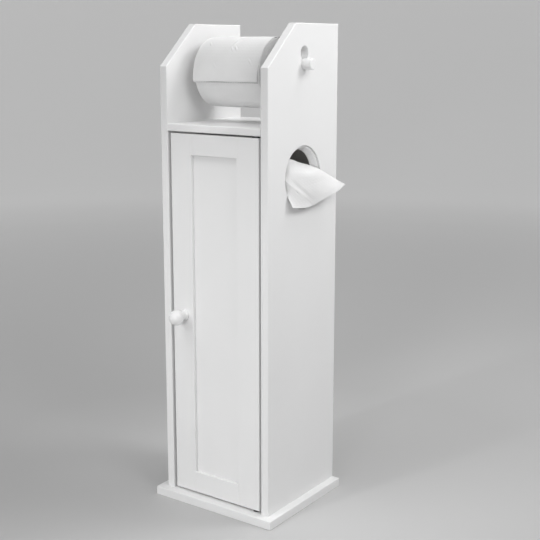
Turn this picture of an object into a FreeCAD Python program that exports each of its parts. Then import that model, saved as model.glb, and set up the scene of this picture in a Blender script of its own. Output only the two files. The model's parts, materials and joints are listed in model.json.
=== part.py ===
import FreeCAD, Part
import math
import os

# Carcass boards. All sizes are in millimetres
base_width = 205.0
base_depth = 180.0
base_thickness = 12.0
base_overhang = 12.0          # base past the side panels, at the front and at both sides
panel_thickness = 12.0
opening_height = 522.0        # from the base up to the top shelf
shelf_thickness = 10.0
bay_height = 134.0            # side panels above the top shelf
bevel_setback = 63.5          # sloped front corner of a side panel, back from its front edge
bevel_drop = 57.0
edge_radius = 1.2

# Round paper hole in the right side panel
hole_diameter = 86.0
hole_setback = 82.5           # from the panel's front edge to the hole's centre
hole_drop = 60.3              # from the top shelf's underside to the hole's centre
rim_radius = 0.6

# Turned ring that lines the paper hole, wide at its mouth and narrow at its throat
ring_play = 0.1               # round the ring's seat in the panel
ring_recess = 2.2             # the ring's front, behind the panel's face
ring_groove_width = 0.8       # open groove round the ring's front
ring_groove_depth = 3.0
ring_reach = 1.0              # ring past the panel's inner face
ring_mouth_diameter = 81.0
ring_throat_diameter = 74.6
ring_lip_radius = 1.2

# Keyholes and the rod that hangs in them
rod_diameter = 15.0
rod_neck_depth = 0.7
rod_end_length = 13.7         # rod past each side panel
rod_end_radius = 1.5
rod_drop = 53.5               # from the side panels' top to the rod's axis
keyhole_lift = 15.0           # from the slot's foot up to the round part
keyhole_play = 1.6
slot_play = 0.3
keyhole_edge_radius = 0.6
neck_play = 0.3

# Paper rolls
roll_diameter = 96.0
roll_width = 108.0
roll_shift = 4.0              # the hanging roll sits left of the middle
core_bore = 40.0
core_wall = 0.9
core_play = 0.1
roll_play = 0.3               # between the core and the rod that it hangs on
tail_angle = -14.5            # torn end of the paper, seen from the left, from the front horizontal
tail_lift = 0.9
tail_thickness = 0.5

# Inner shelf, its pins and the back panel
inner_shelf_thickness = 10.0
inner_shelf_setback = 12.6    # behind the door
inner_shelf_play = 0.4
spare_headroom = 18.0         # between the spare roll and the top shelf
spare_side_gap = 2.5
spare_play = 0.1
pin_diameter = 5.0
pin_flat = 0.3                # flattened top that carries the shelf
pin_collar_diameter = 8.0
pin_collar_thickness = 1.5
pin_reach = 9.0
pin_hole_depth = 8.0
pin_inset = 18.0
back_thickness = 3.0
back_inset = 5.0
back_groove_depth = 5.0
back_play = 0.2

# Door
door_gap_side = 4.0
door_gap_top = 2.5
door_gap_bottom = 2.5
door_recess = 1.4
door_thickness = 12.0
stile_width = 36.0
rail_top_height = 28.5
rail_bottom_height = 31.0
panel_recess = 4.5
door_panel_thickness = 4.0
door_groove_depth = 8.0
groove_play = 0.15
joint_ease = 0.4

# Knob, turned from one piece
knob_inset = 20.0             # from the door's left edge
knob_height = 262.0           # above the door's lower edge
knob_ball_diameter = 21.4
knob_foot_diameter = 16.0
knob_foot_height = 3.0
knob_neck_diameter = 13.4
knob_neck_length = 9.4        # from the door to the ball
knob_screw_diameter = 4.0
knob_screw_depth = 14.0
knob_screw_head_diameter = 8.0
knob_screw_head_height = 2.4

# Pin hinges at the door's right edge
hinge_inset = 8.0             # from the door's right edge
hinge_pin_diameter = 5.0
hinge_pin_seat = 7.0
hinge_pin_reach = 9.0         # into the door
hinge_play = 0.05
bush_wall = 1.45
bush_depth = 12.0
bush_collar_diameter = 10.5
bush_collar_play = 0.1
upper_collar_thickness = 1.0

# Magnetic catch under the top shelf and its strike plate on the door
catch_length = 36.0
catch_depth = 13.0
catch_height = 14.0
catch_side_gap = 3.5
catch_block_length = 18.0
catch_ear_thickness = 3.0
catch_gap = 0.3
magnet_length = 14.0
magnet_depth = 7.0
magnet_height = 6.0
magnet_play = 0.1
strike_length = 22.0
strike_height = 8.0
strike_thickness = 1.2

# Screws, dowels and cam fittings
fit_play = 0.1
screw_diameter = 4.0
screw_length = 40.0
screw_head_diameter = 8.0
screw_sink = 0.5              # heads below the base's underside
small_screw_diameter = 2.8
small_screw_head_diameter = 5.4
small_screw_grip = 6.5
fixing_inset = 32.0           # screws and cams from the side panels' front and back edges
dowel_inset = 62.0
dowel_diameter = 5.0
dowel_length = 18.0
dowel_seat = 8.0
cam_diameter = 12.0
cam_height = 8.0
cam_distance = 22.0           # from the shelf's end to the cam's centre
cam_bolt_diameter = 4.0
cam_bolt_head_diameter = 6.0
cam_bolt_head_length = 4.0
cam_bolt_thread_diameter = 5.0
cam_bolt_seat = 8.0

# Pulled-out paper end. Rows run from the spare roll to the torn end, and each row from the far to the near
# edge. A point is the way out of the right panel's face, across and up from the hole's centre, in hole radii
paper_thickness = 0.8
sheet_play = 0.3              # between the sheet and the roll that it leaves
sheet_rows = [
    [(-0.93, 0.81, 0.34), (-0.93, 0.10, 0.40), (-0.93, -0.55, 0.36), (-0.93, -0.95, 0.20)],
    [(-0.31, 0.80, 0.24), (-0.31, 0.15, 0.30), (-0.31, -0.61, 0.10), (-0.31, -0.78, -0.30)],
    [(0.033, 0.90, 0.14), (0.060, 0.40, 0.00), (0.037, -0.30, -0.38), (0.021, -0.84, -0.36)],
    [(0.245, 1.20, -0.03), (0.220, 0.72, -0.22), (0.084, -0.18, -0.54), (0.030, -0.99, -0.46)],
    [(0.547, 1.55, -0.28), (0.465, 1.19, -0.49), (0.174, 0.27, -0.86), (0.037, -0.63, -0.85)],
]

# Levels and planes that follow from the sizes above
half_outer = base_width / 2 - base_overhang
half_inner = half_outer - panel_thickness
back_y = base_depth / 2
front_y = base_overhang - back_y
middle_y = (front_y + back_y) / 2
base_top = base_thickness
shelf_bottom = base_top + opening_height
shelf_top = shelf_bottom + shelf_thickness
panel_top = shelf_top + bay_height
rod_z = panel_top - rod_drop
hole_radius = hole_diameter / 2
hole_y = front_y + hole_setback
hole_z = shelf_bottom - hole_drop
roll_radius = roll_diameter / 2
core_radius = core_bore / 2 + core_wall
roll_z = rod_z + rod_diameter / 2 + roll_play - core_bore / 2

door_left = door_gap_side - half_inner
door_right = -door_left
door_front = front_y + door_recess
door_back = door_front + door_thickness
door_bottom = base_top + door_gap_bottom
door_top = shelf_bottom - door_gap_top
hinge_x = door_right - hinge_inset
hinge_y = (door_front + door_back) / 2
knob_x = door_left + knob_inset
knob_z = door_bottom + knob_height

back_panel_back = back_y - back_inset
back_panel_front = back_panel_back - back_thickness
inner_shelf_front = door_back + inner_shelf_setback
inner_shelf_back = back_panel_front - inner_shelf_play
inner_shelf_top = shelf_bottom - spare_headroom - roll_diameter
inner_shelf_bottom = inner_shelf_top - inner_shelf_thickness
spare_x = spare_side_gap + roll_radius - half_inner
spare_y = (inner_shelf_front + inner_shelf_back) / 2
spare_z = inner_shelf_top + roll_radius + spare_play

fixing_ys = (front_y + fixing_inset, back_y - fixing_inset)
dowel_ys = (front_y + dowel_inset, back_y - dowel_inset)
pin_ys = (inner_shelf_front + pin_inset, inner_shelf_back - pin_inset)
panel_middle = (half_inner + half_outer) / 2
shelf_middle = (shelf_bottom + shelf_top) / 2

sides = (-1, 1)
past = 1.0                    # how far a cutter runs past the face that it opens
tiny = 0.001
RIGHT = FreeCAD.Vector(1, 0, 0)
BACK = FreeCAD.Vector(0, 1, 0)
UP = FreeCAD.Vector(0, 0, 1)


def vec(x, y, z):
    return FreeCAD.Vector(x, y, z)


def board(x0, x1, y0, y1, z0, z1):
    return Part.makeBox(x1 - x0, y1 - y0, z1 - z0, vec(x0, y0, z0))


def bar(diameter, length, start, direction):
    return Part.makeCylinder(diameter / 2, length, start, direction)


def placed(shape, point, direction):
    """A shape made along +Z from the origin, moved to a point and turned to a direction."""
    copy = shape.copy()
    copy.Placement = FreeCAD.Placement(point, FreeCAD.Rotation(UP, direction))
    return copy


def eased(shape, radius, chosen):
    """Rounds the edges whose boxes are chosen."""
    return shape.makeFillet(radius, [edge for edge in shape.Edges if chosen(edge.BoundBox)])


def outline_face(points):
    return Part.Face(Part.makePolygon(points + points[:1]))


# Fasteners, each made along +Z with its head's face at the origin
def drive_cross(width, depth):
    arm = width / 4
    one = board(-width / 2, width / 2, -arm / 2, arm / 2, 0, depth)
    two = board(-arm / 2, arm / 2, -width / 2, width / 2, 0, depth)
    return one.fuse(two)


def flat_screw(diameter, head_diameter, length):
    radius, head_radius = diameter / 2, head_diameter / 2
    head_height = head_radius - radius
    head = Part.makeCone(head_radius, radius, head_height)
    shank = Part.makeCylinder(radius, length - diameter)
    tip = Part.makeCone(radius, radius / 4, diameter, vec(0, 0, length - diameter))
    return head.fuse([shank, tip]).removeSplitter().cut(drive_cross(diameter, head_height * 0.8))


def flat_screw_hole(diameter, head_diameter, length, lead):
    """Room for a flat screw, with a straight lead-in before the head."""
    radius, head_radius = diameter / 2 + fit_play, head_diameter / 2 + fit_play
    lead_in = Part.makeCylinder(head_radius, lead, vec(0, 0, -lead))
    sink = Part.makeCone(head_radius, radius, head_radius - radius)
    shank = Part.makeCylinder(radius, length + fit_play)
    return lead_in.fuse([sink, shank])


def pan_screw(diameter, head_diameter, head_height, length):
    """The head stands before the origin, on the face that it holds."""
    head = Part.makeCylinder(head_diameter / 2, head_height, vec(0, 0, -head_height))
    head = eased(head, head_height / 2, lambda box: box.ZMax < tiny - head_height)
    recess = drive_cross(diameter, head_height * 0.6)
    recess.translate(vec(0, 0, -head_height))
    return head.fuse(Part.makeCylinder(diameter / 2, length)).removeSplitter().cut(recess)


def dowel(start, direction):
    """A glued dowel that reaches from its seat in a panel's or the base's face."""
    return bar(dowel_diameter, dowel_length, start - direction * dowel_seat, direction)


def dowel_hole(start, direction):
    slack = direction * (dowel_seat + fit_play)
    return bar(dowel_diameter + 2 * fit_play, dowel_length + 2 * fit_play, start - slack, direction)


# Places of the fasteners
base_screw_points = [vec(s * panel_middle, y, screw_sink) for s in sides for y in fixing_ys]
base_dowel_points = [vec(s * panel_middle, y, base_top) for s in sides for y in dowel_ys]
shelf_dowel_points = [(vec(s * half_inner, middle_y, shelf_middle), RIGHT * -s) for s in sides]
cam_points = [(vec(s * half_inner, y, shelf_middle), RIGHT * -s) for s in sides for y in fixing_ys]
pin_points = [(vec(s * half_inner, y, inner_shelf_bottom + pin_flat - pin_diameter / 2), RIGHT * -s)
              for s in sides for y in pin_ys]

base_screw = flat_screw(screw_diameter, screw_head_diameter, screw_length)
base_screw_room = flat_screw_hole(screw_diameter, screw_head_diameter, screw_length, screw_sink + past)
base_screw_holes = [placed(base_screw_room, point, UP) for point in base_screw_points]
base_dowel_holes = [dowel_hole(point, UP) for point in base_dowel_points]
shelf_dowel_holes = [dowel_hole(point, inward) for point, inward in shelf_dowel_points]


# Cam fittings: a bolt in the side panel, held by a turning nut in the shelf's underside
def cam_bolt(face, inward):
    thread = bar(cam_bolt_thread_diameter, cam_bolt_seat, face, inward * -1)
    head_start = cam_distance - cam_bolt_head_length / 2
    shank = bar(cam_bolt_diameter, head_start, face, inward)
    head = bar(cam_bolt_head_diameter, cam_bolt_head_length, face + inward * head_start, inward)
    return thread.fuse([shank, head]).removeSplitter()


def cam_bolt_hole(face, inward):
    thread = bar(cam_bolt_thread_diameter + 2 * fit_play, cam_bolt_seat + fit_play, face, inward * -1)
    return thread.fuse(bar(cam_bolt_head_diameter + 2 * fit_play, cam_distance, face, inward))


def cam_foot(face, inward):
    centre = face + inward * cam_distance
    return vec(centre.x, centre.y, shelf_bottom)


def cam_nut(face, inward):
    centre = face + inward * cam_distance
    half_pocket = cam_bolt_head_length / 2 + fit_play
    body = bar(cam_diameter, cam_height, cam_foot(face, inward), UP)
    pocket_diameter = cam_bolt_head_diameter + 2 * fit_play
    pocket = bar(pocket_diameter, 2 * half_pocket, centre - inward * half_pocket, inward)
    mouth = bar(cam_bolt_diameter + 2 * fit_play, cam_diameter, centre - inward * cam_diameter, inward)
    return body.cut([pocket, mouth, placed(drive_cross(cam_diameter / 2, 1.0), cam_foot(face, inward), UP)])


def cam_nut_hole(face, inward):
    start = cam_foot(face, inward) - UP * past
    return bar(cam_diameter + 2 * fit_play, cam_height + fit_play + past, start, UP)


# Carcass boards
def base_plate():
    plate = board(-base_width / 2, base_width / 2, -back_y, back_y, 0, base_top)
    plate = eased(plate, edge_radius, lambda box: box.ZMax > base_top - tiny)
    pin_hole = bar(hinge_pin_diameter + 2 * fit_play, hinge_pin_seat + fit_play + past,
                   vec(hinge_x, hinge_y, base_top + past), UP * -1)
    return plate.cut(base_screw_holes + base_dowel_holes + [pin_hole])


def keyhole():
    """Slot with a round upper part, through both side panels."""
    start = vec(-half_outer - past, middle_y, rod_z)
    length = 2 * (half_outer + past)
    slot_diameter = rod_diameter - 2 * rod_neck_depth + 2 * slot_play
    foot = bar(slot_diameter, length, start, RIGHT)
    round_part = bar(rod_diameter + 2 * keyhole_play, length, start + UP * keyhole_lift, RIGHT)
    slot = board(start.x, start.x + length, middle_y - slot_diameter / 2, middle_y + slot_diameter / 2,
                 rod_z, rod_z + keyhole_lift)
    return foot.fuse([round_part, slot]).removeSplitter()


def back_groove():
    """Room for the back panel, cut into both side panels from their lower ends."""
    reach = half_inner + back_groove_depth
    return board(-reach, reach, back_panel_front - back_play, back_panel_back + back_play,
                 base_top - past, shelf_bottom)


def pin_hole(face, inward):
    return bar(pin_diameter + 2 * fit_play, pin_hole_depth + fit_play, face, inward * -1)


def side_panel(side):
    inner, outer = side * half_inner, side * half_outer
    outline = [vec(inner, front_y, base_top), vec(inner, back_y, base_top), vec(inner, back_y, panel_top),
               vec(inner, front_y + bevel_setback, panel_top), vec(inner, front_y, panel_top - bevel_drop)]
    panel = outline_face(outline).extrude(RIGHT * (outer - inner))
    panel = eased(panel, edge_radius, lambda box: box.XLength < tiny and box.ZMax > base_top + tiny)
    cutters = [keyhole(), back_groove()] + base_screw_holes + base_dowel_holes + shelf_dowel_holes
    cutters += [cam_bolt_hole(*point) for point in cam_points]
    cutters += [pin_hole(*point) for point in pin_points]
    panel = panel.cut(cutters)
    reach = rod_diameter / 2 + keyhole_play + tiny

    def around_keyhole(box):
        return (box.XLength < tiny and box.ZMin > shelf_top
                and box.YMin > middle_y - reach and box.YMax < middle_y + reach)

    return eased(panel, keyhole_edge_radius, around_keyhole)


def side_panel_right():
    panel = side_panel(1)
    panel = panel.cut(bar(hole_diameter, panel_thickness + 2 * past,
                          vec(half_inner - past, hole_y, hole_z), RIGHT))
    return eased(panel, rim_radius, lambda box: box.XLength < tiny
                 and abs(box.YLength - hole_diameter) < tiny)


def hole_ring():
    front, back = half_outer - ring_recess, half_inner - ring_reach
    front_radius, seat_radius = hole_radius - ring_groove_width, hole_radius - ring_play
    step = front - ring_groove_depth

    def at(x, radius):
        return vec(x, hole_y, hole_z + radius)

    outline = [at(front, ring_mouth_diameter / 2), at(front, front_radius), at(step, front_radius),
               at(step, seat_radius), at(back, seat_radius), at(back, ring_throat_diameter / 2)]
    ring = outline_face(outline).revolve(at(0, 0), RIGHT, 360)
    return eased(ring, ring_lip_radius, lambda box: box.XLength < tiny
                 and abs(box.YLength - ring_mouth_diameter) < tiny)


def top_shelf():
    shelf = board(-half_inner, half_inner, front_y, back_y, shelf_bottom, shelf_top)
    shelf = eased(shelf, edge_radius, lambda box: box.XLength > half_inner)
    hinge_hole = bar(hinge_pin_diameter + 2 * fit_play, hinge_pin_seat + fit_play + past,
                     vec(hinge_x, hinge_y, shelf_bottom - past), UP)
    cutters = shelf_dowel_holes + [hinge_hole] + catch_screw_holes()
    cutters += [cam_bolt_hole(*point) for point in cam_points]
    cutters += [cam_nut_hole(*point) for point in cam_points]
    return shelf.cut(cutters)


def back_panel():
    reach = half_inner + back_groove_depth - back_play
    return board(-reach, reach, back_panel_front, back_panel_back, base_top, shelf_bottom - back_play)


def inner_shelf():
    reach = half_inner - inner_shelf_play
    shelf = board(-reach, reach, inner_shelf_front, inner_shelf_back, inner_shelf_bottom, inner_shelf_top)
    return eased(shelf, edge_radius, lambda box: box.XLength > reach and box.YMax < inner_shelf_front + tiny)


def shelf_pin(face, inward):
    seat = bar(pin_diameter, pin_hole_depth, face, inward * -1)
    collar = bar(pin_collar_diameter, pin_collar_thickness, face, inward)
    reach = bar(pin_diameter, pin_reach, face, inward)
    under_shelf = board(-half_inner, half_inner, front_y, back_y, 0, inner_shelf_bottom)
    return seat.fuse(collar.fuse(reach).common(under_shelf)).removeSplitter()


# Door: two stiles, two rails with tongues, and a thin panel in the grooves
groove_front = door_front + panel_recess - groove_play
groove_back = door_front + panel_recess + door_panel_thickness + groove_play
stile_inner = door_right - stile_width
tongue_reach = stile_inner + door_groove_depth - groove_play


def bush_hole(z, direction):
    width = hinge_pin_diameter + 2 * (hinge_play + bush_wall + fit_play)
    start = vec(hinge_x, hinge_y, z) - direction * past
    return bar(width, bush_depth + fit_play + past, start, direction)


def door_stile(side):
    outer, inner = side * door_right, side * stile_inner
    stile = board(min(outer, inner), max(outer, inner), door_front, door_back, door_bottom, door_top)

    def on_rim(box):
        middle_x = (box.XMin + box.XMax) / 2
        return box.YMax < door_front + tiny and abs(middle_x - inner) > tiny

    stile = eased(stile, edge_radius, on_rim)
    stile = eased(stile, joint_ease, lambda box: box.YMax < door_front + tiny
                  and box.XLength < tiny and abs(box.XMin - inner) < tiny)
    groove_end = inner + side * door_groove_depth
    groove = board(min(inner - side * past, groove_end), max(inner - side * past, groove_end),
                   groove_front, groove_back, door_bottom - past, door_top + past)
    cutters = [groove]
    if side > 0:
        cutters += [bush_hole(door_bottom, UP), bush_hole(door_top, UP * -1)]
    else:
        cutters += [knob_screw_hole(), strike_screw_hole()]
    return stile.cut(cutters)


def door_rail(low, high, outer_z, inner_z):
    """A rail whose outer edge is at the door's rim and whose inner edge holds the panel."""
    rail = board(-stile_inner, stile_inner, door_front, door_back, low, high)
    rail = eased(rail, edge_radius, lambda box: box.XLength > stile_inner and box.YMax < door_front + tiny
                 and abs(box.ZMin - outer_z) < tiny)
    rail = eased(rail, joint_ease, lambda box: box.YMax < door_front + edge_radius / 2
                 and (abs(box.ZMin - inner_z) < tiny or box.ZLength > edge_radius * 2)
                 and box.YLength < tiny)
    inward = math.copysign(1.0, inner_z - outer_z)
    groove_end = inner_z - inward * door_groove_depth
    groove = board(-tongue_reach - past, tongue_reach + past, groove_front, groove_back,
                   min(inner_z + inward * past, groove_end), max(inner_z + inward * past, groove_end))
    tongue_front = door_front + panel_recess
    tongue = board(-tongue_reach, tongue_reach, tongue_front, tongue_front + door_panel_thickness, low, high)
    return rail.fuse(tongue).removeSplitter().cut(groove)


def door_panel():
    front = door_front + panel_recess
    reach = door_groove_depth - groove_play
    return board(-tongue_reach, tongue_reach, front, front + door_panel_thickness,
                 door_bottom + rail_bottom_height - reach, door_top - rail_top_height + reach)


# Knob and its screw, which comes from behind the door
def knob_screw_hole():
    start = vec(knob_x, door_back + past, knob_z)
    return bar(knob_screw_diameter + 2 * fit_play, door_thickness + 2 * past, start, BACK * -1)


def door_knob():
    ball_radius, foot_radius = knob_ball_diameter / 2, knob_foot_diameter / 2
    neck_radius = knob_neck_diameter / 2
    ball_out = knob_neck_length + math.sqrt(ball_radius ** 2 - neck_radius ** 2)
    sweep = (foot_radius - neck_radius) * (1 - math.sqrt(0.5))

    def at(radius, out):
        return vec(knob_x + radius, door_front - out, knob_z)

    foot_edge = at(foot_radius, knob_foot_height)
    neck_start = at(neck_radius, knob_foot_height + foot_radius - neck_radius)
    neck_end = at(neck_radius, knob_neck_length)
    tip = at(0, ball_out + ball_radius)
    hollow = at(neck_radius + sweep, knob_foot_height + sweep)
    edges = [Part.LineSegment(at(0, 0), at(foot_radius, 0)).toShape(),
             Part.LineSegment(at(foot_radius, 0), foot_edge).toShape(),
             Part.Arc(foot_edge, hollow, neck_start).toShape(),
             Part.LineSegment(neck_start, neck_end).toShape(),
             Part.Arc(neck_end, at(ball_radius, ball_out), tip).toShape(),
             Part.LineSegment(tip, at(0, 0)).toShape()]
    knob = Part.Face(Part.Wire(edges)).revolve(at(0, 0), BACK, 360)
    room = bar(knob_screw_diameter + 2 * fit_play, knob_screw_depth + fit_play + past,
               vec(knob_x, door_front + past, knob_z), BACK * -1)
    return knob.cut(room)


def knob_screw():
    screw = pan_screw(knob_screw_diameter, knob_screw_head_diameter, knob_screw_head_height,
                      door_thickness + knob_screw_depth)
    return placed(screw, vec(knob_x, door_back, knob_z), BACK * -1)


# Pin hinges
def hinge_pin(face_z, seat_direction, gap):
    start = vec(hinge_x, hinge_y, face_z) + seat_direction * hinge_pin_seat
    return bar(hinge_pin_diameter, hinge_pin_seat + gap + hinge_pin_reach, start, seat_direction * -1)


def hinge_bush(door_edge, into_door, collar_thickness):
    start = vec(hinge_x, hinge_y, door_edge)
    bore = hinge_pin_diameter + 2 * hinge_play
    sleeve = bar(bore + 2 * bush_wall, bush_depth, start, into_door)
    collar = bar(bush_collar_diameter, collar_thickness, start, into_door * -1)
    bore_start = start - into_door * (collar_thickness + past)
    return sleeve.fuse(collar).cut(bar(bore, bush_depth + collar_thickness + 2 * past, bore_start, into_door))


# Magnetic catch and strike plate
catch_left = catch_side_gap - half_inner
catch_front = door_back + strike_thickness + catch_gap
catch_middle = catch_left + catch_length / 2
catch_screw_spread = (catch_length + catch_block_length) / 4
catch_screw_y = catch_front + catch_depth / 2
magnet_bottom = shelf_bottom - (catch_height + magnet_height) / 2
small_screw_head_height = small_screw_head_diameter / 3


def catch_housing():
    block_half = catch_block_length / 2
    ear = board(catch_left, catch_left + catch_length, catch_front, catch_front + catch_depth,
                shelf_bottom - catch_ear_thickness, shelf_bottom)
    block = board(catch_middle - block_half, catch_middle + block_half, catch_front,
                  catch_front + catch_depth, shelf_bottom - catch_height, shelf_bottom)
    half = magnet_length / 2 + magnet_play
    pocket = board(catch_middle - half, catch_middle + half, catch_front - past,
                   catch_front + magnet_depth + magnet_play, magnet_bottom - magnet_play,
                   magnet_bottom + magnet_height + magnet_play)
    return ear.fuse(block).removeSplitter().cut([pocket] + catch_screw_holes())


def catch_magnet():
    half = magnet_length / 2
    return board(catch_middle - half, catch_middle + half, catch_front, catch_front + magnet_depth,
                 magnet_bottom, magnet_bottom + magnet_height)


def catch_screw_points():
    z = shelf_bottom - catch_ear_thickness
    return [vec(catch_middle + s * catch_screw_spread, catch_screw_y, z) for s in sides]


def catch_screw_holes():
    depth = catch_ear_thickness + small_screw_grip + fit_play
    return [bar(small_screw_diameter + 2 * fit_play, depth, point, UP) for point in catch_screw_points()]


def catch_screws():
    screw = pan_screw(small_screw_diameter, small_screw_head_diameter, small_screw_head_height,
                      catch_ear_thickness + small_screw_grip)
    return Part.makeCompound([placed(screw, point, UP) for point in catch_screw_points()])


def strike_point():
    return vec(catch_middle, door_back + strike_thickness, magnet_bottom + magnet_height / 2)


def strike_screw_hole():
    room = flat_screw_hole(small_screw_diameter, small_screw_head_diameter,
                           strike_thickness + small_screw_grip, past)
    return placed(room, strike_point(), BACK * -1)


def strike_plate():
    middle = strike_point()
    plate = board(middle.x - strike_length / 2, middle.x + strike_length / 2, door_back, middle.y,
                  middle.z - strike_height / 2, middle.z + strike_height / 2)
    return plate.cut(strike_screw_hole())


def strike_screw():
    screw = flat_screw(small_screw_diameter, small_screw_head_diameter, strike_thickness + small_screw_grip)
    return placed(screw, strike_point(), BACK * -1)


# Rod with a neck in each keyhole
def roll_rod():
    reach = half_outer + rod_end_length
    rod = bar(rod_diameter, 2 * reach, vec(-reach, middle_y, rod_z), RIGHT)
    rod = eased(rod, rod_end_radius, lambda box: box.XLength < tiny)
    neck_length = panel_thickness + 2 * neck_play
    for side in sides:
        start = vec(side * panel_middle - neck_length / 2, middle_y, rod_z)
        ring = bar(rod_diameter + 2 * past, neck_length, start, RIGHT)
        ring = ring.cut(bar(rod_diameter - 2 * rod_neck_depth, neck_length, start, RIGHT))
        rod = rod.cut(ring)
    return rod


# Hanging roll: its paper comes over the top and ends at the front
roll_left = -roll_shift - roll_width / 2
roll_start = vec(roll_left, middle_y, roll_z)


def core_tube(start, direction):
    tube = bar(2 * core_radius, roll_width, start, direction)
    return tube.cut(bar(core_bore, roll_width, start, direction))


def paper_bore(start, direction):
    return bar(2 * (core_radius + core_play), roll_width, start, direction)


def paper_roll():
    wound = bar(roll_diameter - 2 * tail_thickness, roll_width, roll_start, RIGHT)
    angle = math.radians(tail_angle)
    towards_tail = vec(0, -math.cos(angle), math.sin(angle))
    tail = bar(roll_diameter - 2 * tail_thickness, roll_width, roll_start + towards_tail * tail_lift, RIGHT)
    upper_half = board(roll_left - past, roll_left + roll_width + past, middle_y - roll_diameter,
                       middle_y + roll_diameter, roll_z, roll_z + roll_diameter)
    upper_half.rotate(roll_start, RIGHT, -tail_angle)
    return wound.fuse(tail.common(upper_half)).cut(paper_bore(roll_start, RIGHT))


# Spare roll on the inner shelf, and its paper end out through the round hole
spare_start = vec(spare_x, spare_y - roll_width / 2, spare_z)


def spare_roll():
    return bar(roll_diameter, roll_width, spare_start, BACK).cut(paper_bore(spare_start, BACK))


def leaving_point(through, y):
    """Where paper pulled tight towards a point leaves the top of the spare roll."""
    radius = roll_radius + sheet_play + paper_thickness / 2
    away = vec(through.x - spare_x, 0, through.z - spare_z)
    lean = math.atan2(away.z, away.x) + math.acos(radius / away.Length)
    return vec(spare_x + radius * math.cos(lean), y, spare_z + radius * math.sin(lean))


def sheet_points():
    hole_centre = vec(half_outer, hole_y, hole_z)
    rows = [[hole_centre + vec(*point) * hole_radius for point in row] for row in sheet_rows]
    last = len(rows[0]) - 1
    ys = [spare_y + roll_width * (0.5 - i / last) for i in range(last + 1)]
    return [[leaving_point(point, y) for point, y in zip(rows[0], ys)]] + rows


def ruled(lines):
    """Ruled faces through a row of polylines."""
    return Part.makeLoft([Part.makePolygon(line) for line in lines], False, True).Faces


def pulled_sheet():
    rows = sheet_points()
    above, below = [], []
    for i, row in enumerate(rows):
        before, after = rows[max(i - 1, 0)], rows[min(i + 1, len(rows) - 1)]
        normals = []
        for j in range(len(row)):
            across = row[max(j - 1, 0)] - row[min(j + 1, len(row) - 1)]
            normals.append((after[j] - before[j]).cross(across).normalize())
        above.append([point + normal * (paper_thickness / 2) for point, normal in zip(row, normals)])
        below.append([point - normal * (paper_thickness / 2) for point, normal in zip(row, normals)])
    faces = ruled(above) + ruled(below)
    for end in (0, -1):
        faces += ruled([above[end], below[end]])
        faces += ruled([[row[end] for row in above], [row[end] for row in below]])
    return Part.makeSolid(Part.makeShell(faces))


parts = {
    "base_plate": base_plate(),
    "side_panel_left": side_panel(-1),
    "side_panel_right": side_panel_right(),
    "hole_ring": hole_ring(),
    "top_shelf": top_shelf(),
    "inner_shelf": inner_shelf(),
    "shelf_pins": Part.makeCompound([shelf_pin(*point) for point in pin_points]),
    "back_panel": back_panel(),
    "base_screws": Part.makeCompound([placed(base_screw, point, UP) for point in base_screw_points]),
    "base_dowels": Part.makeCompound([dowel(point, UP) for point in base_dowel_points]),
    "shelf_dowels": Part.makeCompound([dowel(*point) for point in shelf_dowel_points]),
    "cam_bolts": Part.makeCompound([cam_bolt(*point) for point in cam_points]),
    "cam_nuts": Part.makeCompound([cam_nut(*point) for point in cam_points]),
    "door_stile_left": door_stile(-1),
    "door_stile_right": door_stile(1),
    "door_rail_top": door_rail(door_top - rail_top_height, door_top, door_top, door_top - rail_top_height),
    "door_rail_bottom": door_rail(door_bottom, door_bottom + rail_bottom_height, door_bottom,
                                  door_bottom + rail_bottom_height),
    "door_panel": door_panel(),
    "door_knob": door_knob(),
    "knob_screw": knob_screw(),
    "hinge_pin_lower": hinge_pin(base_top, UP * -1, door_gap_bottom),
    "hinge_pin_upper": hinge_pin(shelf_bottom, UP, door_gap_top),
    "hinge_bush_lower": hinge_bush(door_bottom, UP, door_gap_bottom - bush_collar_play),
    "hinge_bush_upper": hinge_bush(door_top, UP * -1, upper_collar_thickness),
    "catch_housing": catch_housing(),
    "catch_magnet": catch_magnet(),
    "catch_screws": catch_screws(),
    "strike_plate": strike_plate(),
    "strike_screw": strike_screw(),
    "roll_rod": roll_rod(),
    "roll_core": core_tube(roll_start, RIGHT),
    "paper_roll": paper_roll(),
    "spare_core": core_tube(spare_start, BACK),
    "spare_roll": spare_roll(),
    "pulled_sheet": pulled_sheet(),
}

os.makedirs("parts", exist_ok=True)
for name, shape in parts.items():
    shape.exportStep("parts/" + name + ".step")
    print(name, len(shape.Solids), "solids", round(shape.Volume), "mm3, valid:", shape.isValid())
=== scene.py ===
# %% [markdown]
# # A freestanding toilet roll holder
# A tall narrow bathroom cabinet in satin white paint. A roll hangs on a rod between the two side panels, and
# a second roll inside feeds its paper out through a round hole. The boards, the door, the hinges and the
# fasteners are already modelled as solids. This lesson dresses them: it paints them, and builds the paper as
# real paper.

# %% Load the solids
import json
import math

import bpy
import numpy as np
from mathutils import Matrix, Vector, noise


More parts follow.
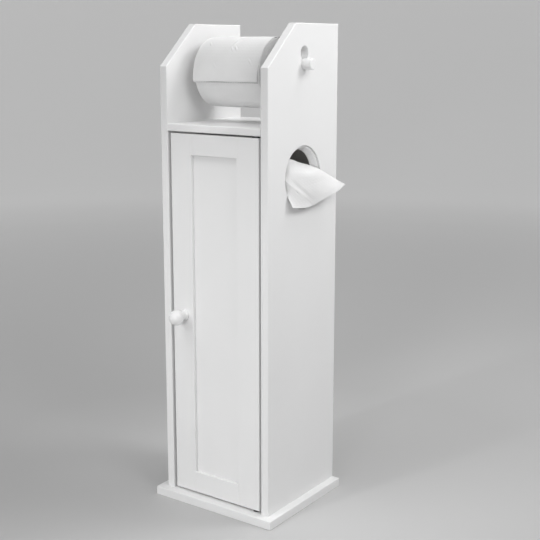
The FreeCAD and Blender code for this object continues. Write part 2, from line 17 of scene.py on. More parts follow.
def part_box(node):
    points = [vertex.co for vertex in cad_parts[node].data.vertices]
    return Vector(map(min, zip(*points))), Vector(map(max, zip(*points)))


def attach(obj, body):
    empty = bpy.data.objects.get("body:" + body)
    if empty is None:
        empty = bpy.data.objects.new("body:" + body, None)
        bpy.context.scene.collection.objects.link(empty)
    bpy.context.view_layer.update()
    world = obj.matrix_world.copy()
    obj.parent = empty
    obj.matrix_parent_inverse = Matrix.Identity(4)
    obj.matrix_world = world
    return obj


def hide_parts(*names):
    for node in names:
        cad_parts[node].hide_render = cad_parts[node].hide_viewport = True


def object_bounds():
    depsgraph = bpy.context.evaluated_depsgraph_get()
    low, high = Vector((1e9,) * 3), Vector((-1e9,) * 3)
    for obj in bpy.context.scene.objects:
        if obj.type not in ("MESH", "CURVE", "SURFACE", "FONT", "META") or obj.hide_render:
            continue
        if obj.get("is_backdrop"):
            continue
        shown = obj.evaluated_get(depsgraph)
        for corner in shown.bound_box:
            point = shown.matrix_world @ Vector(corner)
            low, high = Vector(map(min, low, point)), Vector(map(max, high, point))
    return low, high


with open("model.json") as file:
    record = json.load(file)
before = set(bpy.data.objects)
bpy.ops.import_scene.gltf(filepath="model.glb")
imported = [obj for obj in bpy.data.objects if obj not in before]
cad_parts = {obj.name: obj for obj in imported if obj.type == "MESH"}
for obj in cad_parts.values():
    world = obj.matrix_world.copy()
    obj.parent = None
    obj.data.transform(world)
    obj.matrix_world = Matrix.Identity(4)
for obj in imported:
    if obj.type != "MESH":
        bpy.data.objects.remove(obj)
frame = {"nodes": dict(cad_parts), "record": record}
solids_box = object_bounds()

# %% [markdown]
# ## Small helpers for node trees
# Every finish below is a node tree, and so is the wound roll. Writing each node on one line keeps a tree
# readable: `add` makes a node, sets what it is given, and joins or fills its inputs. The others make what the
# trees use again and again: sums, a shader, a noise, a ramp of shades and a raised surface.


# %% Helpers for node trees
def add(tree, kind, inputs=None, **settings):
    node = tree.nodes.new(kind)
    for name, value in settings.items():
        setattr(node, name, value)
    for key, value in (inputs or {}).items():
        if isinstance(value, bpy.types.NodeSocket):
            tree.links.new(value, node.inputs[key])
        else:
            node.inputs[key].default_value = value
    return node


def math_of(tree, operation, a, b=0.0, c=0.0):
    return add(tree, "ShaderNodeMath", {0: a, 1: b, 2: c}, operation=operation).outputs[0]


def finish_of(name, **sockets):
    """A new Principled finish, with its constants set on the shader's own sockets."""
    material = bpy.data.materials.new(name)
    material.use_nodes = True
    shader = material.node_tree.nodes["Principled BSDF"]
    for socket, value in sockets.items():
        shader.inputs[socket.replace("_", " ")].default_value = value
    return material, material.node_tree, shader


def speckle(tree, coords, scale, detail, per_axis=(1, 1, 1)):
    """Noise from 0 to 1. The scale is in cells per metre, multiplied along each axis."""
    mapped = add(tree, "ShaderNodeMapping", {"Vector": coords, "Scale": per_axis}).outputs[0]
    grain = add(tree, "ShaderNodeTexNoise", {"Vector": mapped, "Scale": scale, "Detail": detail})
    return grain.outputs[0]


def shades(tree, factor, low, high):
    """A colour ramp between two stops, each a place and a grey or a colour."""
    node = add(tree, "ShaderNodeValToRGB", {"Fac": factor})
    for element, (place, colour) in zip(node.color_ramp.elements, (low, high)):
        element.position = place
        element.color = (*colour, 1) if isinstance(colour, tuple) else (colour, colour, colour, 1)
    return node.outputs[0]


def raised(tree, shader, height, distance, strength):
    bump = add(tree, "ShaderNodeBump", {"Height": height, "Distance": distance, "Strength": strength})
    tree.links.new(bump.outputs[0], shader.inputs["Normal"])


print("helpers ready")

# %% [markdown]
# ## Satin white paint
# The boards are fibreboard, sprayed or rolled with white satin paint. Up close such paint isn't flat: it has
# a fine stipple from the roller, and its shine and its white drift a little from place to place. A single
# colour would look like plastic, so three noises at three sizes drive colour, roughness and height.


# %% Satin white paint
def white_paint(name, white, roughness, stipple):
    material, tree, shader = finish_of(name)
    coords = add(tree, "ShaderNodeTexCoord").outputs["Object"]
    drift = speckle(tree, coords, scale=7.0, detail=3.0)
    tone = shades(tree, drift, (0.3, white - 0.018), (0.7, white + 0.006))
    tree.links.new(tone, shader.inputs["Base Color"])
    gloss = speckle(tree, coords, scale=38.0, detail=4.0)
    matt = shades(tree, gloss, (0.25, roughness - 0.05), (0.75, roughness + 0.06))
    tree.links.new(matt, shader.inputs["Roughness"])
    rolled = speckle(tree, coords, scale=620.0, detail=3.0)
    raised(tree, shader, rolled, distance=0.00012, strength=stipple)
    return material


board_paint = white_paint("satin_board_paint", white=0.86, roughness=0.36, stipple=0.35)
turned_paint = white_paint("turned_wood_paint", white=0.88, roughness=0.26, stipple=0.12)
print("paints:", board_paint.name, turned_paint.name)

# %% [markdown]
# ## The back and the fittings
# The back is a thin fibre sheet with a pale face. The fittings of steel, zinc, plastic, ferrite and beech
# are small and mostly hidden, but they show when the door opens or the cabinet is tipped. So each gets a
# mottle of its own size, drawn out upwards in steel and beech, which have a grain.


# %% Finishes of the back and the fittings
def mottled(name, dark, light, roughness, scale, per_axis=(1, 1, 1), height=0.00005, metal=0.0):
    """One noise drives colour, roughness and height together."""
    material, tree, shader = finish_of(name, Metallic=metal)
    coords = add(tree, "ShaderNodeTexCoord").outputs["Object"]
    mottle = speckle(tree, coords, scale, 4.0, per_axis)
    tone = shades(tree, mottle, (0.3, dark), (0.7, light))
    tree.links.new(tone, shader.inputs["Base Color"])
    matt = shades(tree, mottle, (0.2, roughness - 0.06), (0.8, roughness + 0.06))
    tree.links.new(matt, shader.inputs["Roughness"])
    raised(tree, shader, mottle, distance=height, strength=0.5)
    return material


hardboard = mottled("pale_hardboard", (0.52, 0.51, 0.49), (0.60, 0.59, 0.57),
                    roughness=0.62, scale=240.0, per_axis=(1, 1, 3))
steel = mottled("plated_steel", (0.50, 0.50, 0.51), (0.62, 0.62, 0.64),
                roughness=0.30, scale=900.0, per_axis=(1, 1, 0.2), height=0.00002, metal=1.0)
zinc = mottled("cast_zinc", (0.36, 0.36, 0.38), (0.48, 0.48, 0.50), roughness=0.48, scale=700.0, metal=1.0)
nylon = mottled("dark_nylon", (0.020, 0.020, 0.022), (0.028, 0.028, 0.030), roughness=0.45, scale=300.0)
catch_plastic = mottled("moulded_catch_plastic", (0.72, 0.72, 0.71), (0.78, 0.78, 0.77),
                        roughness=0.40, scale=800.0)
ferrite = mottled("dark_ferrite", (0.02, 0.02, 0.022), (0.05, 0.05, 0.052), roughness=0.55, scale=900.0)
beech = mottled("plain_beech", (0.50, 0.33, 0.18), (0.66, 0.47, 0.28),
                roughness=0.60, scale=260.0, per_axis=(1, 1, 0.06))
print("fittings:", [m.name for m in (hardboard, steel, zinc, nylon, catch_plastic, ferrite, beech)])

# %% [markdown]
# ## Grey-brown card
# A roll's core is a strip of card wound round at a slant and glued. The slant shows as a fine seam that
# climbs round the tube. So the place along the axis is shifted by the angle round it, and wherever the sum
# comes back to zero, once in each rise of the seam, the card is darker.


# %% Wound card
def wound_card(name, centre, turn, rise=0.06, seam_share=0.03):
    """Card whose seam climbs by the rise in one turn. The mapping puts the tube's axis on X."""
    material, tree, shader = finish_of(name, Roughness=0.85)
    coords = add(tree, "ShaderNodeTexCoord").outputs["Object"]
    local = add(tree, "ShaderNodeMapping", {"Vector": coords, "Location": centre, "Rotation": turn},
                vector_type="TEXTURE")
    parts = add(tree, "ShaderNodeSeparateXYZ", {"Vector": local.outputs[0]}).outputs
    angle = math_of(tree, "ARCTAN2", parts["Z"], parts["Y"])
    climb = math_of(tree, "MULTIPLY_ADD", angle, rise / math.tau, parts["X"])
    from_seam = math_of(tree, "PINGPONG", climb, rise / 2)
    seam = shades(tree, math_of(tree, "MULTIPLY", from_seam, 2 / rise), (0.0, 0.0), (seam_share, 1.0))
    fibre = speckle(tree, coords, scale=420.0, detail=5.0)
    tone = shades(tree, fibre, (0.3, (0.36, 0.27, 0.18)), (0.7, (0.50, 0.40, 0.29)))
    mixed = add(tree, "ShaderNodeMix", {0: seam, 6: (0.30, 0.22, 0.14, 1), 7: tone}, data_type="RGBA")
    tree.links.new(mixed.outputs[2], shader.inputs["Base Color"])
    raised(tree, shader, fibre, distance=0.0001, strength=0.5)
    return material


print("card finish ready")


# %% [markdown]
# ## Soft white tissue
# Toilet paper is two thin plies pressed together with rows of small dots, and loose fibres make it quite
# matt. The dots have to follow the paper round the roll and over its folds, so this finish reads the paper's
# own UV map, which is laid out in metres along and across the sheet. Along a torn edge, the shadow in the
# crevice under its ragged teeth is painted into the colour as short dark dashes of shade, which an attribute
# of the sheet's points marks. The wound layers have neither, so they show their fibres only.


# %% Tissue
def tissue_finish():
    material, tree, shader = finish_of(
        "soft_tissue", Roughness=0.92, Specular_IOR_Level=0.2, Sheen_Weight=0.1, Sheen_Roughness=0.6,
        Subsurface_Weight=0.35, Subsurface_Scale=0.002, Subsurface_Radius=(1.0, 1.0, 1.0))
    flat = add(tree, "ShaderNodeTexCoord").outputs["UV"]
    coords = add(tree, "ShaderNodeTexCoord").outputs["Object"]
    pressed = add(tree, "ShaderNodeTexVoronoi", {"Vector": flat, "Scale": 190.0, "Randomness": 0.12})
    dots = shades(tree, pressed.outputs["Distance"], (0.12, 0.0), (0.42, 1.0))
    fibres = speckle(tree, coords, scale=520.0, detail=5.0)
    cloud = speckle(tree, flat, scale=26.0, detail=3.0)
    white = shades(tree, cloud, (0.3, 0.785), (0.7, 0.825))
    # Painted shade: where the mask is set, the white gives way to dark grey in short dashes, standing in for
    # the shadow in the crevice under the torn teeth.
    torn = add(tree, "ShaderNodeAttribute", attribute_name="torn_edge").outputs["Fac"]
    white_and_painted_shade = add(tree, "ShaderNodeMix", {0: torn, 6: white, 7: (0.22, 0.22, 0.22, 1)}, data_type="RGBA")
    tree.links.new(white_and_painted_shade.outputs[2], shader.inputs["Base Color"])
    height = math_of(tree, "MULTIPLY_ADD", fibres, 0.5, dots)
    raised(tree, shader, height, distance=0.00016, strength=0.35)
    return material


tissue = tissue_finish()
print("paper finish:", tissue.name)

# %% [markdown]
# ## Dress the solids
# The record lists a material slot for each solid, so one table from slot to finish paints them all. The two
# cores differ only in where their axis lies. The solids' shapes stay as they are.

# %% Dress the solids
hang_box, spare_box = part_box("roll_core"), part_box("spare_core")
hang_centre = (hang_box[0] + hang_box[1]) / 2
spare_centre = (spare_box[0] + spare_box[1]) / 2
quarter_turn = (0.0, 0.0, math.pi / 2)
finish_for = {"painted_board": board_paint, "knob_paint": turned_paint, "hardboard": hardboard,
              "steel": steel, "zinc": zinc, "nylon": nylon, "catch_plastic": catch_plastic,
              "magnet": ferrite, "dowel_wood": beech, "paper": tissue}
core_card = {"roll_core": wound_card("card_of_hanging_roll", hang_centre, (0, 0, 0)),
             "spare_core": wound_card("card_of_spare_roll", spare_centre, quarter_turn)}
for subpart in frame["record"]["subparts"]:
    node, slot = subpart["node"], subpart["material_slot"]
    mesh = frame["nodes"][node].data
    mesh.materials.clear()
    mesh.materials.append(core_card[node] if slot == "card" else finish_for[slot])

# %% [markdown]
# ## The wound paper, by a rule
# A roll is one long strip wound round its core, so its shape follows a rule: along the strip the radius
# grows steadily while the angle runs round. A lathe would give a plain cylinder with blank ends. Geometry
# Nodes bend a long grid into the true spiral instead, and the ends show the layers with their slightly ragged
# edges.

# %% What the winding tree is given
wind = bpy.data.node_groups.new("Wind a roll of paper", "GeometryNodeTree")
sizes = {"Inner radius": 0.0212, "Outer radius": 0.0469, "Turns": 62.0, "Paper width": 0.1076,
         "Steps per turn": 64.0, "End angle": 0.0, "Layer share": 0.86, "Ragged edge": 0.0006, "Seed": 3.0}
for name, value in sizes.items():
    wind.interface.new_socket(name, in_out="INPUT", socket_type="NodeSocketFloat").default_value = value
for name in ("Centre", "Turn"):
    wind.interface.new_socket(name, in_out="INPUT", socket_type="NodeSocketVector")
wind.interface.new_socket("Finish", in_out="INPUT", socket_type="NodeSocketMaterial")
wind.interface.new_socket("Roll", in_out="OUTPUT", socket_type="NodeSocketGeometry")
given = add(wind, "NodeGroupInput").outputs
print("inputs:", [item.name for item in wind.interface.items_tree if item.in_out == "INPUT"])


# %% A node tree that winds paper
def calc(operation, *values):
    return math_of(wind, operation, *values)


fray_per_radian, weld_distance = 0.8, 0.000001
steps = calc("MULTIPLY_ADD", given["Turns"], given["Steps per turn"], 1.0)
strip = add(wind, "GeometryNodeMeshGrid", {"Vertices X": steps, "Vertices Y": 2}).outputs["Mesh"]
spot = add(wind, "ShaderNodeSeparateXYZ", {0: add(wind, "GeometryNodeInputPosition").outputs[0]}).outputs
along = calc("ADD", spot["X"], 0.5)
pitch = calc("DIVIDE", calc("SUBTRACT", given["Outer radius"], given["Inner radius"]), given["Turns"])
radius = calc("MULTIPLY_ADD", along, calc("MULTIPLY", pitch, given["Turns"]), given["Inner radius"])
angle = calc("MULTIPLY_ADD", calc("SUBTRACT", along, 1.0), calc("MULTIPLY", given["Turns"], math.tau),
             given["End angle"])
where = add(wind, "ShaderNodeCombineXYZ",
            {0: calc("MULTIPLY", angle, fray_per_radian), 1: spot["Y"], 2: given["Seed"]}).outputs[0]
fray = add(wind, "ShaderNodeTexNoise", {"Vector": where, "Scale": 1.0, "Detail": 3.0}).outputs[0]
across = calc("MULTIPLY_ADD", spot["Y"], given["Paper width"],
              calc("MULTIPLY", calc("SUBTRACT", fray, 0.5), given["Ragged edge"]))
wound = add(wind, "ShaderNodeCombineXYZ", {0: across, 1: calc("MULTIPLY", radius, calc("COSINE", angle)),
                                           2: calc("MULTIPLY", radius, calc("SINE", angle))}).outputs[0]
spiral = add(wind, "GeometryNodeSetPosition", {"Geometry": strip, "Position": wound}).outputs[0]
layer = calc("MULTIPLY", pitch, given["Layer share"])
thick = add(wind, "GeometryNodeExtrudeMesh", {"Mesh": spiral, "Individual": False, "Offset Scale": layer})
inner_face = add(wind, "GeometryNodeFlipFaces", {"Mesh": spiral})
joined = add(wind, "GeometryNodeJoinGeometry")
wind.links.new(thick.outputs["Mesh"], joined.inputs[0])
wind.links.new(inner_face.outputs[0], joined.inputs[0])
closed = add(wind, "GeometryNodeMergeByDistance", {"Geometry": joined.outputs[0], "Distance": weld_distance})
set_down = add(wind, "GeometryNodeTransform", {"Geometry": closed.outputs[0], "Translation": given["Centre"],
                                               "Rotation": given["Turn"]})
real = add(wind, "GeometryNodeRealizeInstances", {"Geometry": set_down.outputs[0]})
papered = add(wind, "GeometryNodeSetMaterial", {"Geometry": real.outputs[0], "Material": given["Finish"]})
add(wind, "NodeGroupOutput", {"Roll": papered.outputs[0]})
print("tree:", wind.name, len(wind.nodes), "nodes")

# %% [markdown]
# ## Two rolls from one tree
# The tree runs twice: for the roll on the rod, and for the spare one, which lies with its axis from front to
# back. Each result is kept as a plain mesh and takes the place of the solid roll. The hanging roll's winding
# ends where its loose sheet is torn, at the front and 14.5 degrees below the axis. The spare roll's winding
# ends out of sight.


# %% Helpers for objects
def run_tree(obj, tree, **inputs):
    """Runs a tree on an object, with inputs given by name, and keeps the result as a plain mesh."""
    modifier = obj.modifiers.new(tree.name, "NODES")
    modifier.node_group = tree
    for item in tree.interface.items_tree:
        key = item.name.replace(" ", "_").lower()
        if item.in_out == "INPUT" and key in inputs:
            modifier[item.identifier] = inputs[key]
    result = bpy.data.meshes.new_from_object(obj.evaluated_get(bpy.context.evaluated_depsgraph_get()))
    obj.modifiers.remove(modifier)
    obj.data = result


def new_object(name, data):
    obj = bpy.data.objects.new(name, data)
    bpy.context.scene.collection.objects.link(obj)
    return obj


def smooth_except_edges(obj, limit=math.radians(40)):
    obj.data.polygons.foreach_set("use_smooth", [True] * len(obj.data.polygons))
    obj.data.set_sharp_from_angle(angle=limit)


print("object helpers ready")

# %% Wind the two rolls
tail_angle = math.radians(180 + 14.5)
spare_end_angle = math.radians(70)
hanging_roll = new_object("hanging_roll_layers", bpy.data.meshes.new("hanging_roll_layers"))
spare_roll = new_object("spare_roll_layers", bpy.data.meshes.new("spare_roll_layers"))
run_tree(hanging_roll, wind, centre=hang_centre, turn=(0, 0, 0), end_angle=tail_angle, finish=tissue)
run_tree(spare_roll, wind, centre=spare_centre, turn=quarter_turn, end_angle=spare_end_angle, seed=8.0,
         finish=tissue)
for obj, body, node in ((hanging_roll, "roll", "paper_roll"), (spare_roll, "carcass", "spare_roll")):
    smooth_except_edges(obj)
    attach(obj, body)
    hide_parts(node)
    print(obj.name, len(obj.data.polygons), "faces, across", [round(d, 4) for d in obj.dimensions])

# %% [markdown]
# ## Sheets of tissue
# The outermost layer of each roll isn't part of the tight winding: its end is loose, torn along a
# perforation, and can be pulled. Each such sheet starts as a grid of points on its middle surface, rows along
# the paper and columns across it. One function gives every grid the same thin body, with a UV map in metres
# of flat paper and a mask of painted shade along the torn edge.


# %% A thin sheet from its middle surface
def paper_sheet(name, middle, flat, torn, thickness):
    """A closed thin body, half its thickness on either side of a grid of points."""
    rows, columns = middle.shape[:2]
    count = rows * columns
    normal = np.cross(np.gradient(middle, axis=0), np.gradient(middle, axis=1))
    normal *= thickness / 2 / np.linalg.norm(normal, axis=2, keepdims=True)
    points = np.concatenate([(middle + normal).reshape(-1, 3), (middle - normal).reshape(-1, 3)])
    index = np.arange(count).reshape(rows, columns)
    upper = np.stack([index[:-1, :-1], index[1:, :-1], index[1:, 1:], index[:-1, 1:]], -1).reshape(-1, 4)
    rim = np.concatenate([index[:-1, 0], index[-1, :-1], index[:0:-1, -1], index[0, :0:-1]])
    ahead = np.roll(rim, -1)
    sides = np.stack([rim, rim + count, ahead + count, ahead], -1)
    mesh = bpy.data.meshes.new(name)
    mesh.from_pydata(points.tolist(), [], np.concatenate([upper, upper[:, ::-1] + count, sides]).tolist())
    corners = np.empty(len(mesh.loops), int)
    mesh.loops.foreach_get("vertex_index", corners)
    flat_corners = flat.reshape(-1, 2)[corners % count]
    mesh.uv_layers.new(name="flat_paper").uv.foreach_set("vector", flat_corners.ravel())
    # The mask of painted shade along the torn edge, the same for both faces of the sheet.
    mesh.attributes.new("torn_edge", "FLOAT", "POINT").data.foreach_set("value", np.tile(torn.ravel(), 2))
    mesh.materials.append(tissue)
    obj = new_object(name, mesh)
    smooth_except_edges(obj)
    return obj


def bumps(points, size, seed):
    """Smooth noise, about -1 to 1, at points given in metres."""
    shift = Vector((seed * 7.3, seed * 3.1, seed * 5.7))
    spots = points.reshape(-1, points.shape[-1]) / size
    values = [noise.noise(Vector((p[0], p[1], p[2] if len(p) > 2 else 0.0)) + shift) for p in spots]
    return np.array(values).reshape(points.shape[:-1])


def perforation(across, pitch, depth):
    """How far each torn tooth stands past the edge. Teeth differ in length and have blunt tips."""
    tooth = np.floor(across / pitch)
    uneven = 0.65 + 0.35 * np.sin(tooth * 12.9)
    return depth * uneven * np.clip(1.6 * np.abs(np.sin(np.pi * across / pitch)), 0, 1)


print("sheet tools ready")

# %% [markdown]
# ## The loose end on the hanging roll
# One sheet more than a turn long lies round the roll, a little looser than the winding. It has slipped a
# couple of millimetres to the left, its end stands off the roll, and its torn edge is a row of small teeth. A
# short fold runs over its top, with a few fine wrinkles near it: each is a low ridge with a hollow on either
# side. Places on the sheet are given as x across it, from its middle, and s along it, from the torn edge.


# %% Wrinkles in paper
def wrinkle(x, s, place, size, heading):
    """Height of a ridge at a place (x, s). Its size is half width, half length and height."""
    along = (s - place[1]) * math.cos(heading) + (x - place[0]) * math.sin(heading)
    aside = (x - place[0]) * math.cos(heading) - (s - place[1]) * math.sin(heading)
    steep = (aside / size[0]) ** 2
    return size[2] * (1 - steep) * np.exp(-steep / 1.5 - (along / size[1]) ** 2)


fold = ((0.0036, 0.0670), (0.0019, 0.0100, 0.0015), 0.36)
fine_places = [(0.0030, 0.0465), (0.0090, 0.0480), (-0.0390, 0.0560), (-0.0185, 0.0215), (0.0395, 0.0275)]
fine_size, fine_heading = (0.0012, 0.0034, 0.0006), -0.7
print("wrinkles:", 1 + len(fine_places))

# %% Sizes of the loose end
paper_width, paper_thickness = 0.108, 0.0003
# The sheet's radius at the torn edge, and how much nearer the axis it lies one turn farther in.
loose_radius, layer_step = 0.0480, 0.00045
loose_turn = math.tau * loose_radius
past_one_turn = 0.040
loose_length = loose_turn + past_one_turn
# Torn teeth: their spacing, their length, and how far back from the edge they are drawn out.
tooth_pitch, tooth_depth, tooth_root = 0.0029, 0.0011, 0.0012
# The end stands off the roll, unevenly and less and less along the sheet. Its very edge bends back to it.
tail_lift, tail_lift_fade, lift_wave, edge_bend = 0.0022, 0.014, 0.03, 0.0020
# The left corner curls up, and soft dents cover the sheet.
corner_lift, corner_fade_along, corner_fade_across = 0.0014, 0.02, 0.012
dent_height, dent_width = 0.00022, 0.022
# The slip to the left fades along the sheet.
tail_slip, tail_slip_fade = 0.0021, 0.07
# Painted shade under the torn teeth, in dark dashes: how far it reaches up the sheet, where it starts at the
# left, and how soon it is full.
painted_shade_reach, painted_shade_start, painted_shade_fade = 0.0011, -0.050, 0.016
# Rows of points along the sheet: start, end and count of each zone, closest at the torn edge.
zones = ((0, 0.002, 9), (0.002, 0.012, 14), (0.012, 0.085, 86), (0.085, loose_length, 70))
s = np.concatenate([[0.0]] + [np.linspace(*zone)[1:] for zone in zones])
s, x = np.meshgrid(s, np.linspace(-paper_width / 2, paper_width / 2, 181), indexing="ij")
print("points along and across:", s.shape)

# %% The loose end on the hanging roll
torn = s - perforation(x, tooth_pitch, tooth_depth) * np.clip(1 - s / tooth_root, 0, 1)
angle_on_roll = tail_angle - torn / loose_radius
uneven = 1 + 0.5 * bumps(np.stack([x, 0 * x], -1), lift_wave, 2)
lift = tail_lift * np.exp(-(s / tail_lift_fade) ** 1.5) * uneven
lift *= 1 - np.clip(1 - s / edge_bend, 0, 1) ** 1.4
corner = corner_lift * np.exp(-s / corner_fade_along) * np.exp(-(x + paper_width / 2) / corner_fade_across)
dents = dent_height * (1 + bumps(np.stack([x, s], -1), dent_width, 5))
dents += wrinkle(x, s, *fold) + sum(wrinkle(x, s, place, fine_size, fine_heading) for place in fine_places)
reach = loose_radius - layer_step * s / loose_turn + lift + corner + dents
slip = -tail_slip * np.exp(-s / tail_slip_fade)
loose_middle = np.stack([hang_centre.x + x + slip, hang_centre.y + reach * np.cos(angle_on_roll),
                         hang_centre.z + reach * np.sin(angle_on_roll)], -1)
# Painted shade: a mask of dark dashes between the teeth at the torn edge, standing in for the shadow under
# them.
painted_shade_dashes = np.clip(1.5 - 1.4 * perforation(x, tooth_pitch, 1.0), 0.1, 1)
painted_shade_dashes *= np.clip((x - painted_shade_start) / painted_shade_fade, 0.1, 1)
painted_shade_dashes *= np.exp(-(s / painted_shade_reach) ** 2)
loose_end = paper_sheet("loose_end_of_hanging_roll", loose_middle, np.stack([x, s], -1), painted_shade_dashes,
                        paper_thickness)
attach(loose_end, "roll")
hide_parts("paper_roll")
print(loose_end.name, len(loose_end.data.polygons), "faces,", round(loose_length, 3), "m of paper")

# %% [markdown]
# ## The sheet pulled out through the hole
# The spare roll's outer turn leaves the roll at its top, runs to the hole and hangs out of it. Its near part
# is folded down along a ridge, and its torn end points out to the right. The five rows below, from the roll
# outwards, were placed over the photograph. Each runs from the far to the near edge, and says how far
# out of the panel's face, to the back and up from the hole's centre a point is, in hole radii. Smooth curves
# run along the paper, and across it up to the ridge, where it bends sharply.

# %% Rows of the pulled sheet
hole_radius = 0.043
hole_centre = np.array([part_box("side_panel_right")[1].x, 0.0045, 0.4737])
hung_rows = np.array([
    [(-0.85, 0.95, -0.05), (-0.85, 0.30, 0.10), (-0.90, -0.55, 0.15),
     (-0.85, -0.98, -0.05), (-0.80, -1.12, -0.45)],
    [(-0.30, 0.80, 0.26), (-0.36, 0.30, 0.42), (-0.42, -0.34, 0.56),
     (-0.30, -0.83, 0.08), (-0.30, -0.72, -0.42)],
    [(0.033, 0.92, 0.17), (0.050, 0.36, 0.12), (-0.05, -0.50, 0.20),
     (-0.04, -0.82, -0.09), (-0.10, -0.809, -0.392)],
    [(0.245, 1.21, -0.06), (0.220, 0.73, -0.20), (0.140, -0.02, -0.27),
     (0.11, -0.56, -0.325), (0.055, -0.898, -0.562)],
    [(0.547, 1.63, -0.35), (0.465, 1.24, -0.55), (0.310, 0.65, -0.75),
     (0.200, 0.23, -0.90), (0.190, -0.87, -0.828)],
]) * hole_radius + hole_centre
print("rows and points in each:", hung_rows.shape[:2])


# %% Smooth curves through the rows
def curve_through(points, places):
    """A smooth curve through rows of points, at places from 0 to the last row's number."""
    ends = np.concatenate([2 * points[:1] - points[1:2], points, 2 * points[-1:] - points[-2:-1]])
    first = np.clip(np.floor(places).astype(int), 0, len(points) - 2)
    t = (places - first).reshape(-1, *([1] * (points.ndim - 1)))
    a, b, c, d = (ends[first + k] for k in range(4))
    return b + t / 2 * (c - a + t * (2 * a - 5 * b + 4 * c - d + t * (3 * b - a - 3 * c + d)))


ridge, last = 3, 4
flap_sag = 0.0022
columns = np.linspace(0, last, 161)
across_rows = np.swapaxes(hung_rows, 0, 1)
plane = curve_through(across_rows[:ridge + 1], columns[columns <= ridge])
flap_place = columns[columns > ridge] - ridge
flap = curve_through(across_rows[ridge:], flap_place)
flap[:, -1, 2] -= flap_sag * np.sin(np.pi * flap_place)
hung_fine = np.swapaxes(np.concatenate([plane, flap]), 0, 1)
hung_fine[:, 1:-1] = (hung_fine[:, :-2] + 2 * hung_fine[:, 1:-1] + hung_fine[:, 2:]) / 4
print("rows across the sheet:", hung_fine.shape)

# %% [markdown]
# On the roll, each column of the sheet leaves along the tangent towards its first point of the rows, and the
# paper before it goes once round. Then come the small things that make it paper: a shallow dip above the
# ridge, a pinched spot where the ridge ends, soft waves, and torn teeth.

# %% From the roll to the hole
spare_y = np.linspace(spare_centre.y + paper_width / 2, spare_centre.y - paper_width / 2, len(columns))
away = hung_fine[0][:, [0, 2]] - np.array([spare_centre.x, spare_centre.z])
lean = np.arctan2(away[:, 1], away[:, 0]) + np.arccos(loose_radius / np.linalg.norm(away, axis=1))


def round_spare(back):
    """Points on the spare roll, a length of paper back from where the sheet leaves it."""
    reach = loose_radius - layer_step * back / loose_turn
    turn = lean + back / loose_radius
    x, z = spare_centre.x + reach * np.cos(turn), spare_centre.z + reach * np.sin(turn)
    return np.stack([x, spare_y, z], -1)


# How far the paper on the roll overlaps itself, and how far back on it the free run takes its direction from.
spare_past_one_turn, lead_in = 0.030, 0.025
on_roll = np.stack([round_spare(back) for back in np.linspace(loose_turn + spare_past_one_turn, 0, 90)])
end_row = len(hung_rows)
row, column = np.linspace(0, end_row, 121)[1:, None], columns[None, :]
guides = np.concatenate([round_spare(lead_in)[None], on_roll[-1:], hung_fine])
free = curve_through(guides, row[:, 0] + 1)
print("on the roll:", on_roll.shape, "free:", free.shape)


# %% The sheet pulled out through the hole
def hollow(depth, place, size):
    """A soft hollow at a (row, column) place, with its half width along each."""
    return -depth * np.exp(-((row - place[0]) / size[0]) ** 2 - ((column - place[1]) / size[1]) ** 2)


wave_height, wave_width = 0.0005, 0.024
up = -np.cross(np.gradient(free, axis=0), np.gradient(free, axis=1))
up /= np.linalg.norm(up, axis=2, keepdims=True)
dip = hollow(depth=0.0012, place=(4.0, 2.60), size=(0.7, 0.25))
pinch = hollow(depth=0.0007, place=(4.15, 3.10), size=(0.09, 0.05))
past_roll, before_end = np.clip(row - 0.6, 0, 1), np.clip((end_row - row) / 0.4, 0.3, 1)
waves = wave_height * bumps(free, wave_width, 4) * past_roll * before_end
free += up * (dip + pinch + waves)[:, :, None]
outward = free[-1] - free[-2]
outward /= np.linalg.norm(outward, axis=1, keepdims=True)
free[-1] += outward * perforation(paper_width * columns / last, tooth_pitch, tooth_depth)[:, None]
pulled_middle = np.concatenate([on_roll, free])
run = np.concatenate([[0], np.cumsum(np.linalg.norm(np.diff(pulled_middle, axis=0), axis=2).mean(axis=1))])
flat = np.stack(np.broadcast_arrays(paper_width * column / last, run[:, None]), -1)
# No painted shade along this sheet's torn end.
no_painted_shade = np.zeros(flat.shape[:2])
pulled_sheet = paper_sheet("pulled_sheet_of_spare_roll", pulled_middle[:, ::-1], flat[:, ::-1], no_painted_shade,
                           paper_thickness)
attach(pulled_sheet, "carcass")
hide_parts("pulled_sheet")
print(pulled_sheet.name, len(pulled_sheet.data.polygons), "faces,", round(float(run[-1]), 3), "m of paper")

# %% [markdown]
# ## Floor
# The floor is a wide pale dish whose rim curves up, so no horizon shows from any side. It lies a hair under
# the base, so that the two faces don't coincide. It is greyer near the part, and glows a little farther out.

# %% Floor
floor_z, flat_radius, rim_radius, spokes = -0.0003, 3.2, 2.0, 96
profile = [(0.6, floor_z), (flat_radius, floor_z)]
profile += [(flat_radius + rim_radius * math.sin(a), floor_z + rim_radius * (1 - math.cos(a)))
            for a in np.linspace(0.1, 1.4, 14)]
rings = [(r * math.cos(k * math.tau / spokes), r * math.sin(k * math.tau / spokes), z)
         for r, z in profile for k in range(spokes)]
faces = [(0, 1 + k, 1 + (k + 1) % spokes) for k in range(spokes)]
for i in range(len(profile) - 1):
    inner, outer = 1 + i * spokes, 1 + (i + 1) * spokes
    faces += [(inner + k, outer + k, outer + (k + 1) % spokes, inner + (k + 1) % spokes)
              for k in range(spokes)]
floor_mesh = bpy.data.meshes.new("studio_floor")
floor_mesh.from_pydata([(0, 0, floor_z)] + rings, [], faces)
studio_floor = new_object("studio_floor", floor_mesh)
smooth_except_edges(studio_floor)
studio_floor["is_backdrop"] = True
print("floor:", len(floor_mesh.polygons), "faces")

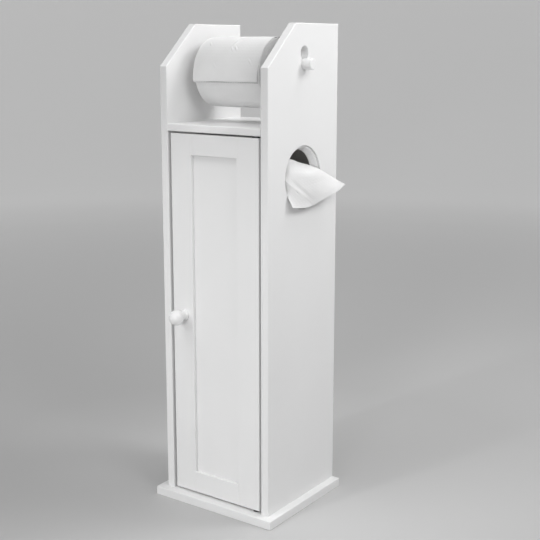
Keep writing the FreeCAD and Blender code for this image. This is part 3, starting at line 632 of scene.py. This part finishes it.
# %% Finish of the floor
floor_finish, tree, shader = finish_of("pale_floor", Roughness=0.75, Emission_Strength=1.0)
fade_per_metre = 0.3
coords = add(tree, "ShaderNodeTexCoord").outputs["Object"]
mapped = add(tree, "ShaderNodeMapping", {"Vector": coords, "Scale": (fade_per_metre,) * 3}).outputs[0]
near = add(tree, "ShaderNodeTexGradient", {"Vector": mapped}, gradient_type="SPHERICAL").outputs[1]
tree.links.new(shades(tree, near, (0.1, 0.88), (0.85, 0.54)), shader.inputs["Base Color"])
tree.links.new(shades(tree, near, (0.1, 0.22), (0.85, 0.0)), shader.inputs["Emission Color"])
floor_mesh.materials.append(floor_finish)
print("floor finish:", floor_finish.name)

# %% [markdown]
# ## Light
# Soft lights stand at the right, behind the right, overhead, at the upper left and high in front. In the
# photograph the rod's shadow falls to the lower left, so the ones on the right stand near. Aimed lights even
# out the door, the base and the roll. The key light among them is small, because the knob's shadow is crisp
# and falls to the lower right. A very weak soft light inside keeps the paper hole from going black.


# %% Light
def place_light(name, light, place, target):
    obj = new_object(name, light)
    obj.location = place
    obj.rotation_euler = (Vector(target) - Vector(place)).to_track_quat("-Z", "Y").to_euler()
    return obj


def soft_light(name, place, target, size, power):
    light = bpy.data.lights.new(name, "AREA")
    light.shape, light.size, light.energy = "DISK", size, power
    place_light(name, light, place, target).visible_camera = False


def aimed_light(name, place, target, angle, radius, power):
    light = bpy.data.lights.new(name, "SPOT")
    light.spot_size, light.spot_blend, light.shadow_soft_size, light.energy = angle, 0.6, radius, power
    place_light(name, light, place, target)


soft_light("right_light", (0.78, -0.31, 1.11), (0.05, 0, 0.55), size=0.46, power=2.65)
soft_light("right_back_light", (0.75, 0.43, 1.16), (0.05, 0, 0.64), size=0.46, power=4.55)
soft_light("overhead_light", (0.3, 0.5, 1.9), (0, 0, 0.6), size=0.8, power=8.6)
soft_light("upper_left_light", (-0.7, -1.0, 2.2), (0, 0, 0.3), size=0.9, power=6.0)
soft_light("ceiling_light", (0, -0.6, 2.4), (0, 0, 0.3), size=1.8, power=6.4)
soft_light("inside_light", (0.05, -0.04, 0.50), (0.03, 0.08, 0.48), size=0.02, power=0.0036)
aimed_light("key_light", (-0.53, -2.09, 1.40), (0, -0.08, 0.20), angle=0.30, radius=0.07, power=30.0)
aimed_light("front_light", (0.6, -2.2, 0.75), (0, -0.08, 0.265), angle=0.30, radius=0.40, power=94.0)
aimed_light("base_light", (-0.35, -1.3, 1.8), (0, -0.09, 0), angle=0.36, radius=0.25, power=18.0)
aimed_light("roll_light", (-0.3, -1.6, 0.40), (-0.004, -0.03, 0.594), angle=0.075, radius=0.02, power=19.0)
world = bpy.data.worlds.new("pale_room")
world.use_nodes = True
world.node_tree.nodes["Background"].inputs["Color"].default_value = (1, 1, 1, 1)
world.node_tree.nodes["Background"].inputs["Strength"].default_value = 0.18
bpy.context.scene.world = world
bpy.context.scene.view_settings.view_transform = "Standard"

# %% [markdown]
# ## Camera
# The photograph seems to have been taken level, with the lens shifted far down. This camera stands close to
# the same place but is tilted down instead, so that the part stays in the picture from the other sides too.

# %% Camera
yaw, tilt = 0.6162, -0.1983
camera = new_object("camera", bpy.data.cameras.new("camera"))
camera.location = (0.8501, -1.1460, 0.65035)
forward = Vector((-math.sin(yaw) * math.cos(tilt), math.cos(yaw) * math.cos(tilt), math.sin(tilt)))
camera.rotation_euler = forward.to_track_quat("-Z", "Y").to_euler()
camera.data.sensor_width, camera.data.lens, camera.data.shift_y = 36.0, 68.27, -0.037
camera.data.clip_start = 0.01
bpy.context.scene.camera = camera
print("camera at", camera.location[:], "lens", camera.data.lens)

# %% [markdown]
# ## Size and finish
# The dressed object should keep the size of the solids, so both boxes are printed at the end.

# %% Size and finish
final_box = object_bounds()
for label, box in (("solids", solids_box), ("dressed", final_box)):
    print(label, [[round(v, 4) for v in corner] for corner in box])
